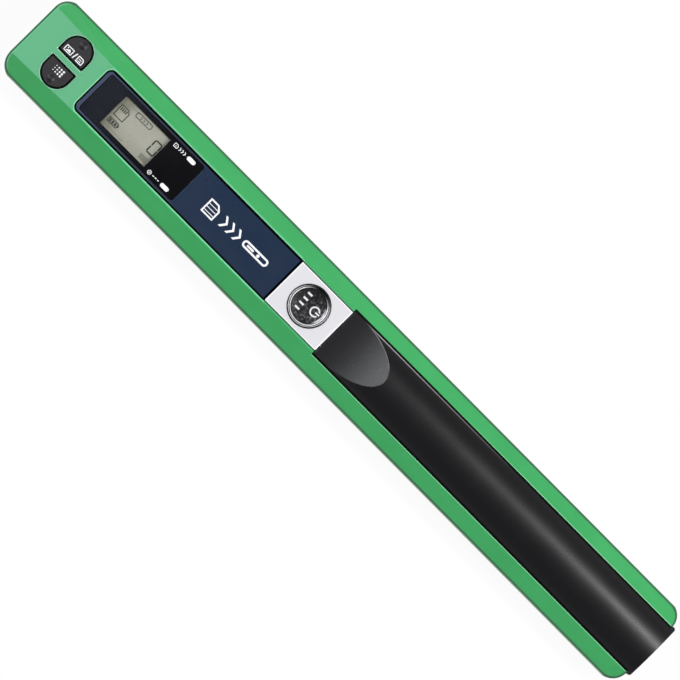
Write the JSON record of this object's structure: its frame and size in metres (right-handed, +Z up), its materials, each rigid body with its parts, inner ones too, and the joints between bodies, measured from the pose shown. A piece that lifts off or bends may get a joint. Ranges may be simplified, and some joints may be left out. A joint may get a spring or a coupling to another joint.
{
  "type": "handheld document scanner",
  "caption": "Long wand-shaped scanner with a small display, round start button, sliding battery cover, card slot, and rollers beside a scan window underneath.",
  "frame": {"origin": "on the page, under the middle of the wand, at the bottom of the rollers", "axes": "+X along the wand from the key end to the end of the battery cover, +Y towards the side with the sockets, +Z up from the page"},
  "size_m": [0.256, 0.029, 0.028],
  "materials": {
    "green_shell": "satin, fine grain",
    "key_black": "satin",
    "panel_blue": "gloss",
    "window_tint": "polished",
    "display_grey": "satin",
    "plate_white": "satin",
    "ring_chrome": "polished",
    "button_mirror": "dark polished",
    "cover_black": "satin",
    "inner_black": "matt",
    "inner_white": "matt",
    "natural_acetal": "satin",
    "clear_light_pipe": "frosted",
    "clear_glass": "polished",
    "circuit_board": "satin lacquer",
    "chip_body": "matt",
    "sheet_steel": "bright",
    "screw_steel": "zinc plated",
    "spring_steel": "nickel plated",
    "card_black": "satin",
    "cell_sleeve": "printed sleeve",
    "lead_red": "matt",
    "roller_rubber": "matt",
    "sintered_bush": "matt",
    "contact_rubber": "matt"
  },
  "bodies": {
    "housing": {"upper_housing": "green_shell", "lower_housing": "green_shell", "housing_screws": "screw_steel", "display_panel": "panel_blue", "display_window": "window_tint", "lcd_frame": "inner_black", "lcd_glass": "display_grey", "lcd_reflector": "inner_white", "contact_strips": "contact_rubber", "ready_light_pipe": "clear_light_pipe", "fault_light_pipe": "clear_light_pipe", "status_leds": "inner_white", "button_plate": "plate_white", "scan_button_ring": "ring_chrome", "key_switches": "inner_black", "display_board": "circuit_board", "display_screws": "screw_steel", "main_board": "circuit_board", "main_board_screws": "screw_steel", "board_header": "inner_black", "processor_chip": "chip_body", "memory_chip": "chip_body", "small_components": "chip_body", "data_port_shell": "sheet_steel", "data_port_insert": "inner_black", "card_socket": "sheet_steel", "photo_interrupter": "inner_black", "battery_tray": "inner_black", "tray_screws": "screw_steel", "front_cell": "cell_sleeve", "rear_cell": "cell_sleeve", "plate_contact": "spring_steel", "spring_contact": "spring_steel", "battery_leads": "lead_red", "sensor_housing": "inner_black", "scan_glass": "clear_glass", "rod_lens_array": "inner_black", "light_guide": "clear_light_pipe", "guide_led": "inner_white", "sensor_board": "circuit_board", "sensor_cable": "inner_white", "shaft_bushes": "sintered_bush", "encoder_axle": "sheet_steel", "idler_pins": "sheet_steel"},
    "battery_lid": {"battery_cover": "cover_black"},
    "scan_key": {"scan_button": "button_mirror", "scan_plunger": "inner_white"},
    "far_key": {"format_key": "key_black", "format_plunger": "inner_white"},
    "near_key": {"resolution_key": "key_black", "resolution_plunger": "inner_white"},
    "card": {"memory_card": "card_black"},
    "drive_roller": {"drive_shaft": "sheet_steel", "left_tyre": "roller_rubber", "right_tyre": "roller_rubber", "drive_gear": "natural_acetal", "shaft_clips": "spring_steel"},
    "encoder": {"encoder_wheel": "natural_acetal"},
    "left_wheel": {"left_idler": "roller_rubber"},
    "right_wheel": {"right_idler": "roller_rubber"}
  },
  "joints": [
    {"name": "cover_slide", "type": "slide", "parent": "housing", "child": "battery_lid", "axis": [1, 0, 0], "range_m": [0, 0.135]},
    {"name": "scan_press", "type": "slide", "parent": "housing", "child": "scan_key", "axis": [0, 0, -1], "range_m": [0, 0.0004], "stiffness_N_per_m": 300, "springref_m": -0.0003},
    {"name": "format_press", "type": "slide", "parent": "housing", "child": "far_key", "axis": [0, 0, -1], "range_m": [0, 0.0004], "stiffness_N_per_m": 300, "springref_m": -0.0003},
    {"name": "resolution_press", "type": "slide", "parent": "housing", "child": "near_key", "axis": [0, 0, -1], "range_m": [0, 0.0004], "stiffness_N_per_m": 300, "springref_m": -0.0003},
    {"name": "card_slide", "type": "slide", "parent": "housing", "child": "card", "axis": [0, 1, 0], "range_m": [0, 0.017]},
    {"name": "drive_roller_spin", "type": "hinge", "parent": "housing", "child": "drive_roller", "pos_m": [0, 0.0083, 0.0028], "axis": [1, 0, 0], "continuous": true},
    {"name": "encoder_spin", "type": "hinge", "parent": "housing", "child": "encoder", "pos_m": [-0.12, 0.00645, 0.00629], "axis": [1, 0, 0], "continuous": true},
    {"name": "left_idler_spin", "type": "hinge", "parent": "housing", "child": "left_wheel", "pos_m": [-0.1, -0.0083, 0.0028], "axis": [1, 0, 0], "continuous": true},
    {"name": "right_idler_spin", "type": "hinge", "parent": "housing", "child": "right_wheel", "pos_m": [0.1, -0.0083, 0.0028], "axis": [1, 0, 0], "continuous": true}
  ],
  "couplings": [
    {"joint": "encoder_spin", "follows": "drive_roller_spin", "ratio": -0.85714}
  ]
}
